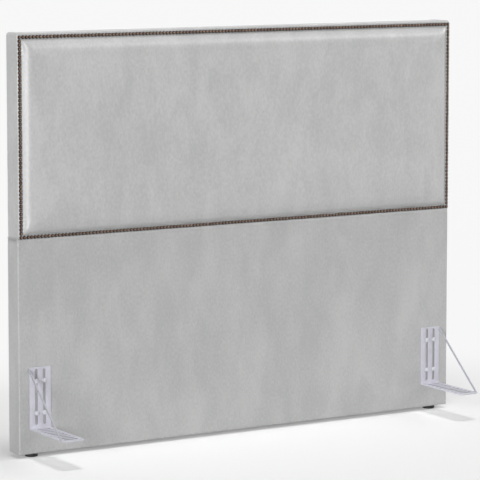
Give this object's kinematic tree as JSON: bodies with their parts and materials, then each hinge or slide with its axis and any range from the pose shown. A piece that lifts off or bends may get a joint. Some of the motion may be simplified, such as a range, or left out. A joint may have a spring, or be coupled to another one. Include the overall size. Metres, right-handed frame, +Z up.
{
  "type": "headboard",
  "caption": "Upholstered headboard with a raised padded panel edged by domed nails, a plain lower part, slotted corner brackets and low glides.",
  "frame": {"origin": "middle of the bottom of the whole part at rest, brackets included, on the floor", "axes": "+X across the width, +Y towards the wall behind, +Z up; the padded front faces -Y"},
  "size_m": [1.6, 0.3, 1.302],
  "materials": {
    "upholstery": "short-pile velvet, light grey",
    "dust_cloth": "thin non-woven cloth, near black",
    "wadding": "soft white wadding",
    "foam": "open-cell foam, cream",
    "timber": "planed softwood, bare",
    "hardwood": "planed hardwood, bare",
    "board": "thin fibreboard, bare",
    "zinc_steel": "zinc plated",
    "bolt_steel": "zinc plated, dull",
    "nail_heads": "dark antique bronze, satin",
    "bracket_metal": "pale lavender-grey powder coat, satin",
    "glide": "black, matt"
  },
  "bodies": {
    "headboard": {"back_cloth": "dust_cloth", "border_cover": "upholstery", "bracket_block_left": "hardwood", "bracket_block_right": "hardwood", "bracket_bolts_left": "bolt_steel", "bracket_bolts_right": "bolt_steel", "bracket_washers_left": "bolt_steel", "bracket_washers_right": "bolt_steel", "foot_left": "glide", "foot_right": "glide", "foot_studs": "zinc_steel", "frame_screws": "zinc_steel", "front_board_lower": "board", "front_board_upper": "board", "lower_cover": "upholstery", "lower_wadding": "wadding", "nails_bottom": "nail_heads", "nails_left": "nail_heads", "nails_right": "nail_heads", "nails_top": "nail_heads", "panel_cover": "upholstery", "panel_foam": "foam", "rail_bottom": "timber", "rail_middle": "timber", "rail_top": "timber", "stile_left": "timber", "stile_right": "timber", "tee_nuts_left": "zinc_steel", "tee_nuts_right": "zinc_steel", "upper_side_wadding": "wadding", "upright_lower_left": "timber", "upright_lower_right": "timber", "upright_upper_left": "timber", "upright_upper_right": "timber"},
    "bracket_left": {"bracket_left": "bracket_metal", "strut_left": "bracket_metal"},
    "bracket_right": {"bracket_right": "bracket_metal", "strut_right": "bracket_metal"}
  },
  "joints": [
    {"name": "bracket_left_slide", "type": "slide", "parent": "headboard", "child": "bracket_left", "axis": [0, 0, 1], "range_m": [-0.033, 0.033]},
    {"name": "bracket_right_slide", "type": "slide", "parent": "headboard", "child": "bracket_right", "axis": [0, 0, 1], "range_m": [-0.033, 0.033]}
  ]
}
